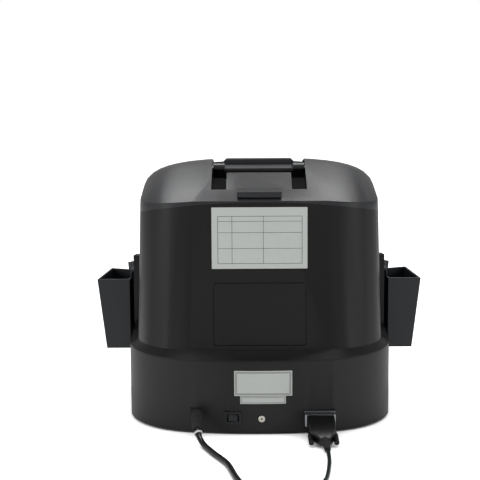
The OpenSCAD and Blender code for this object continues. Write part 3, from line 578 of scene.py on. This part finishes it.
@dataclass
class Repeats:
    """A Geometry Nodes tree that sets one small form on every point of a mesh."""

    name: str
    finish: Finish

    def tree(self) -> bpy.types.NodeTree:
        """Builds the tree: points in, turned and scaled forms out, with their finish set."""
        tree = bpy.data.node_groups.new(self.name, "GeometryNodeTree")
        face = tree.interface
        face.new_socket("Points", in_out="INPUT", socket_type="NodeSocketGeometry")
        for size in ("Length", "Width", "Height"):
            face.new_socket(size, in_out="INPUT", socket_type="NodeSocketFloat")
        face.new_socket("Forms", in_out="OUTPUT", socket_type="NodeSocketGeometry")
        start = add_node(tree, "NodeGroupInput")
        size = add_node(tree, "ShaderNodeCombineXYZ", links={
            0: start.outputs["Length"], 1: start.outputs["Width"], 2: start.outputs["Height"]})
        form = add_node(tree, "GeometryNodeMeshCube", links={"Size": size.outputs[0]})
        spin = add_node(tree, "GeometryNodeInputNamedAttribute", {"data_type": "FLOAT_VECTOR"},
                        {"Name": "spin"})
        turn = add_node(tree, "FunctionNodeEulerToRotation", links={0: spin.outputs["Attribute"]})
        put = add_node(tree, "GeometryNodeInstanceOnPoints", links={
            "Points": start.outputs["Points"], "Instance": form.outputs["Mesh"], "Rotation": turn.outputs[0]})
        real = add_node(tree, "GeometryNodeRealizeInstances", links={0: put.outputs[0]})
        dressed = add_node(tree, "GeometryNodeSetMaterial", links={0: real.outputs[0]})
        dressed.inputs["Material"].default_value = self.finish.build()
        add_node(tree, "NodeGroupOutput", links={0: dressed.outputs[0]})
        return tree

    def build(self, points: list, spins: list, sizes: tuple[float, float, float], body: str,
              slot: str) -> bpy.types.Object:
        """Runs the tree over the points and keeps the result as a plain mesh.

        Args:
            points: Where each form goes.
            spins: Its turn about X, Y and Z in radians.
            sizes: Length, width and height of the form.
            body: The body that it rides on.
            slot: The record's material slot; not used.
        """
        mesh = bpy.data.meshes.new(self.name)
        mesh.from_pydata([tuple(p) for p in points], [], [])
        attribute = mesh.attributes.new("spin", "FLOAT_VECTOR", "POINT")
        for entry, spin in zip(attribute.data, spins):
            entry.vector = spin
        thing = bpy.data.objects.new(self.name, mesh)
        bpy.context.scene.collection.objects.link(thing)
        modifier = thing.modifiers.new("repeats", "NODES")
        modifier.node_group = self.tree()
        sockets = [item for item in modifier.node_group.interface.items_tree if item.in_out == "INPUT"]
        for socket, size in zip(sockets[1:], sizes):
            modifier[socket.identifier] = size
        bake(thing)
        thing.data.shade_smooth()
        thing.data.set_sharp_from_angle(angle=math.radians(40))
        return place(thing, body)


@dataclass
class Housing:
    """Base, upper housing, top cover, skirt, lid, hatch and the floor plate with its screws and feet."""

    def build(self) -> None:
        """Makes every shell of the housing."""
        softened("base_shell", BASE_HOUSING, 0.9, 26)
        softened("upper_shell", HOUSING, 0.6, 24)
        cover = softened("top_cover", TOP_LIT_HOUSING, 1.4, 26, 3)
        # Painted shade in the pockets of the top cover's back slope.
        paint_shade(cover, PAINTED_SHADE, (35.5, 37, 236), (50, 112, 256.5), 0.17)
        softened("coin_skirt", HOUSING, 0.5)
        softened("control_panel", KEY_ABS, 0.5)
        lid = softened("hopper_lid", TOP_LIT_HOUSING, 1.0, 30, 3)
        # Painted shade on the lid's strip under its bar.
        paint_shade(lid, PAINTED_SHADE, (-1, 4, 246), (50, 46, 256.2))
        softened("service_hatch", HOUSING, 0.5)
        softened("hopper_bowl", PIT_ABS, 0.8)
        softened("base_plate", DARK_STEEL, 0.3)
        softened("rubber_feet", RUBBER, 0.6)
        softened("base_screws", STEEL, 0.3)
        softened("lid_pins", STEEL, 0.2)
        self.screw_slots()

    def screw_slots(self) -> None:
        """Adds the raised cross of each screw head under the floor plate."""
        low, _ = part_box("base_screws")
        seats = [v.co for v in NODES["base_screws"].data.vertices if v.co.z < low.z + 1e-4]
        centres: list[Vector] = []
        for seat in seats:
            if all((seat - c).length > SCREW_SPREAD for c in centres):
                group = [s for s in seats if (s - seat).length < SCREW_SPREAD]
                centres.append(sum(group, Vector()) / len(group))
        points = [Vector((c.x, c.y, low.z - 0.0001)) for c in centres for _ in (0, 1)]
        spins = [(0, 0, math.pi / 2 * k + 0.4) for _ in centres for k in (0, 1)]
        sizes = (0.0034, 0.0007, 0.0003)
        Repeats("screw_crosses", DARK_STEEL).build(points, spins, sizes, "root", "steel")


@dataclass
class Labels:
    """The rear labels with their blank tables."""

    back: float
    lean: float = 3 / 142
    bulge: float = 0.392

    def panel(self, x: float, z: float) -> float:
        """Depth of the fault label's face at a height."""
        return self.back - 0.019 - (z - 0.085) * self.lean + LABEL_FACE

    def base(self, x: float, z: float) -> float:
        """Depth of the rating label's face at a place across the bulged back."""
        return self.back - self.bulge + math.sqrt(self.bulge ** 2 - x * x) + LABEL_FACE

    def strips(self, name: str, bars_mm: list, surface: Callable[[float, float], float],
               finish: Finish) -> bpy.types.Object:
        """Makes flat printed bars that follow a surface.

        Args:
            name: The piece's name.
            bars_mm: Each bar's two corners as x0, x1, z0, z1.
            surface: Gives the depth at x and z.
            finish: The ink.
        """
        corners: list[tuple] = []
        faces: list[tuple] = []
        for bar in bars_mm:
            x0, x1, z0, z1 = (value * MM for value in bar)
            count = max(1, int(abs(x1 - x0) / PRINT_STEP))
            start = len(corners)
            for k in range(count + 1):
                x = x0 + (x1 - x0) * k / count
                for z in (z0, z1):
                    for lift in (0.0, PRINT_THICK):
                        corners.append((x, surface(x, z) + lift, z))
            for k in range(count):
                a = start + 4 * k
                b = a + 4
                faces += [(a, b, b + 1, a + 1), (a + 2, a + 3, b + 3, b + 2),
                          (a + 1, b + 1, b + 3, a + 3), (a, a + 2, b + 2, b)]
            end = start + 4 * count
            faces += [(start, start + 1, start + 3, start + 2), (end, end + 2, end + 3, end + 1)]
        return place(solid(name, corners, faces, finish), "root")

    def frame(self, x0: float, x1: float, z0: float, z1: float, width: float) -> list:
        """Returns the four bars of a rectangle's outline."""
        level = [(x0, x1, z0, z0 + width), (x0, x1, z1 - width, z1)]
        return level + [(x0, x0 + width, z0, z1), (x1 - width, x1, z0, z1)]

    def build(self) -> None:
        """Makes both labels with their outlines, columns and rows."""
        softened("fault_label", LABEL, 0.12)
        softened("rating_labels", LABEL, 0.1)
        table = self.frame(-43.3, 42.5, 174.2, 223.1, 0.45)
        table += [(27.7, 28.1, 174.2, 223.1), (-4.1, -3.7, 174.2, 223.1)]
        table += [(-43.3, 42.5, z, z + 0.4) for z in (217.5, 206.0, 189.7)]
        self.strips("fault_table_print", table, self.panel, INK)
        plate = self.frame(-31.2, 25.2, 42.3, 66, 0.4) + self.frame(-30.2, 24.2, 43.3, 65, 0.3)
        plate += self.frame(-25, 19.5, 33.7, 39.6, 0.35)
        self.strips("rating_frame_print", plate, self.base, INK)


@dataclass
class Fittings:
    """What sits on the back of the base: switch, serial socket, earth ring and the coils' ties."""

    def build(self) -> None:
        """Makes the fittings with rounded edges."""
        softened("switch_body", PIT_ABS, 0.5)
        softened("switch_rocker", CUP_ABS, 0.3)
        softened("serial_socket", STEEL, 0.25)
        softened("earth_ring", BRASS, 0.3)
        softened("coil_ties", PALE, 0.3)


@dataclass
class Workings:
    """Everything inside, and what the opened lid and the pulled hatch show."""

    def build(self) -> None:
        """Dresses the sorting head, the drive and the boards."""
        steel = ("mechanism_deck", "sorting_ring", "disc_shaft", "shaft_bearings", "drive_motor",
                 "motor_pulley", "transformer")
        for node in steel:
            softened(node, STEEL, 0.3)
        for node in ("coin_chutes", "bearing_tower", "disc_pulley", "motor_bracket"):
            softened(node, CUP_ABS, 0.4)
        for node in ("sensor_board", "main_board", "power_board", "lcd_module", "key_board"):
            softened(node, BOARD, 0.15)
        softened("drive_belt", RUBBER, 0.2)
        softened("coin_disc", RUBBER, 0.5)
        softened("display_window", GLASS, 0.3)
        self.disc_ribs()

    def disc_ribs(self) -> None:
        """Adds the fine radial ribs on the disc's coating."""
        low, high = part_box("coin_disc")
        middle = (low + high) / 2
        reach = (high.x - low.x) / 2 * 0.9
        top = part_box("coin_disc")[1].z - 0.008 + 0.0002
        points = []
        spins = []
        for k in range(DISC_RIBS):
            angle = 2 * math.pi * k / DISC_RIBS
            points.append(Vector((middle.x + math.cos(angle) * reach, middle.y + math.sin(angle) * reach, top)))
            spins.append((0, 0, angle))
        sizes = (0.012, 0.0009, 0.0006)
        Repeats("disc_ribs", RUBBER).build(points, spins, sizes, "disc", "disc_coating")


@dataclass
class Controls:
    """The keys of the front panel."""

    count: int = 6

    def build(self) -> None:
        """Makes each key."""
        for k in range(1, self.count + 1):
            softened(f"key_{k}", KEY_ABS, 0.6, 30, 3)


@dataclass
class Cups:
    """The fan of coin cups."""

    count: int = 6

    def build(self) -> None:
        """Makes each cup with rounded rims and corners."""
        for k in range(1, self.count + 1):
            softened(f"coin_cup_{k}", CUP_ABS, 0.7, 30, 3)


def boot(route_mm: list, back: float) -> bpy.types.Object:
    """Makes the ribbed strain relief that tapers from the housing towards the mains lead.

    Args:
        route_mm: The lead's route, measured from the machine's back.
        back: Where the back is.

    Returns:
        The boot, which stands for the gland.
    """
    corner = [(65, -4, 20), (65, 4, 20)] + route_mm[:3]
    line = smooth_line([Vector((x * MM, back + y * MM, z * MM)) for x, y, z in corner], 18)
    collar, thick, thin, rib = (value * MM for value in (6.5, 5.7, 4.1, 0.55))
    radii = []
    for k in range(len(line)):
        part = k / (len(line) - 1)
        wave = math.sin(part * BOOT_RIBS * 2 * math.pi)
        radii.append(collar if part < 0.08 else thick + (thin - thick) * part + (rib if wave > 0 else 0.0))
    piece = swept("mains_strain_relief", line, radii, RUBBER)
    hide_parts("cord_gland")
    return place(piece, "root")


def lofted(name: str, sections_mm: list, finish: Finish, bevel_mm: float) -> bpy.types.Object:
    """Makes a closed block through rectangular sections, each x, y, z, width and height."""
    corners: list[Vector] = []
    for x, y, z, width, height in sections_mm:
        for across, up in ((-1, -1), (1, -1), (1, 1), (-1, 1)):
            corners.append(Vector((x + across * width / 2, y, z + up * height / 2)) * MM)
    faces = [(a + j, a + (j + 1) % 4, a + 4 + (j + 1) % 4, a + 4 + j)
             for a in range(0, len(corners) - 4, 4) for j in range(4)]
    faces += [(0, 1, 2, 3), tuple(range(len(corners) - 4, len(corners)))]
    return solid(name, corners, faces, finish, bevel_mm)


def serial_plug(back: float) -> list[bpy.types.Object]:
    """Makes the serial plug that hangs a little from its socket: shell, hood, boot and two thumbscrews."""
    far = back / MM
    hood = lofted("serial_plug_hood", [
        (-60.8, far + 9, 17.2, 28, 13), (-61.4, far + 22, 14.2, 28, 13), (-62.4, far + 35, 10.6, 25, 12),
        (-63.6, far + 43, 8.2, 15, 10), (-64.2, far + 47, 7, 10, 8)], PIT_ABS, 0.9)
    shell = lofted("serial_plug_shell", [
        (-60.7, far + 2.6, 18, 31, 12.4), (-60.8, far + 9.4, 17.2, 31, 12.4)], STEEL, 0.5)
    line = [Vector((x, far + y, z)) * MM for x, y, z in (
        (-63.8, 44, 7.8), (-64.4, 49, 6.6), (-65.2, 56, 4.9), (-65.8, 62, 3.6))]
    fine = smooth_line(line, 8)
    last = len(fine) - 1
    radii = [(4.3 - 1.6 * k / last + (0.35 if k % 6 < 3 else 0.0)) * MM for k in range(len(fine))]
    relief = swept("serial_plug_boot", fine, radii, RUBBER)
    pieces = [hood, shell, relief]
    for name, side in (("left", 1), ("right", -1)):
        start = Vector((-61.5 + side * 12.6, far + 20, 13.4)) * MM
        end = Vector((-63 + side * 12.6, far + 45, 5.2)) * MM
        steps = [start.lerp(end, k / 10) for k in range(11)]
        radii = [(1.7 if k < 5 else 2.7) * MM for k in range(11)]
        pieces.append(swept(f"serial_thumbscrew_{name}", steps, radii, PIT_ABS, 14))
    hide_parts("printer_plug")
    for piece in pieces:
        place(piece, "root")
    return pieces


def leads(back: float) -> list[Lead]:
    """Gives both cords with the pieces on them. Routes are in millimetres behind the machine's back."""
    mains_route = [
        (65, 13, 20), (64.8, 20, 18.2), (63.8, 27, 14.2), (61.5, 34, 8.8), (58, 41, 4.6), (54.4, 49, 3),
        (51.2, 57, 3), (48, 65, 3), (44.6, 73, 3), (40.8, 81, 3), (36.8, 90, 3), (33.2, 99, 3), (30.4, 109, 3),
        (28.2, 120, 3), (26, 131, 3), (23.6, 142, 3), (20.6, 153, 3), (17.4, 164, 3), (14.2, 175, 3),
        (11.2, 186, 3), (8.6, 197, 3), (6.6, 209, 3), (5.4, 221, 3), (5, 232, 3)]
    mains = Lead(
        "mains", 0.006, back, mains_route,
        [(52, 275, 12.5), (61, 273.5, 10.8), (70, 270.5, 9.2), (79, 266.5, 8), (88, 262.5, 7.3),
         (95, 259.8, 7), (102, 259, 7)],
        (43, 232), 66, PVC, "plug", "medium",
        [softened("mains_plug", PVC, 0.5), boot(mains_route, back),
         softened("cord_ring", PALE, 0.4)],
        [(2, 0), (1, 0), (0, 0), (0, 1), (1, 1), (2, 1), (1.5, 1.87), (2.6, 1.87)])
    printer = Lead(
        "printer", 0.004, back,
        [(-64.9, 54, 5.2), (-65.5, 59, 4.2), (-66, 64, 3.2), (-66.3, 70, 2.3), (-66.4, 77, 2),
         (-66.3, 84, 2), (-66, 92, 2), (-65.5, 100, 2), (-64.8, 108, 2), (-64.1, 116, 2), (-63.3, 124, 2),
         (-62.3, 132, 2), (-61, 140, 2), (-59, 148, 2), (-56, 155, 2), (-52, 162, 2), (-47.5, 169, 2),
         (-43.2, 177, 2), (-40, 186, 2), (-38.3, 196, 2), (-38, 206, 2)],
        [(-68, 234.6, 8.5), (-76, 233, 7.6), (-84, 229.8, 6.8), (-92, 226.5, 6.2), (-97, 225.3, 6),
         (-101, 225, 6)],
        (-60, 206), 44, DARK_PVC, "connector", "limp",
        serial_plug(back) + [softened("printer_jack", PIT_ABS, 0.7, 30, 3)],
        [(2, 0), (1, 0), (0, 0), (0, 1), (1, 1), (2, 1), (0.5, 1.87), (1.5, 1.87), (2.6, 1.87)])
    return [mains, printer]


def main() -> None:
    """Builds the camera and cords first, then every sub-assembly."""
    logging.basicConfig(level=logging.INFO, format="%(message)s")
    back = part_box("base_shell")[1].y
    studio = Studio(back)
    studio.camera()
    for lead in leads(back):
        lead.build()
    studio.surroundings()
    for group in (Housing(), Labels(back), Fittings(), Workings(), Controls(), Cups()):
        group.build()


if __name__ == "__main__":
    main()
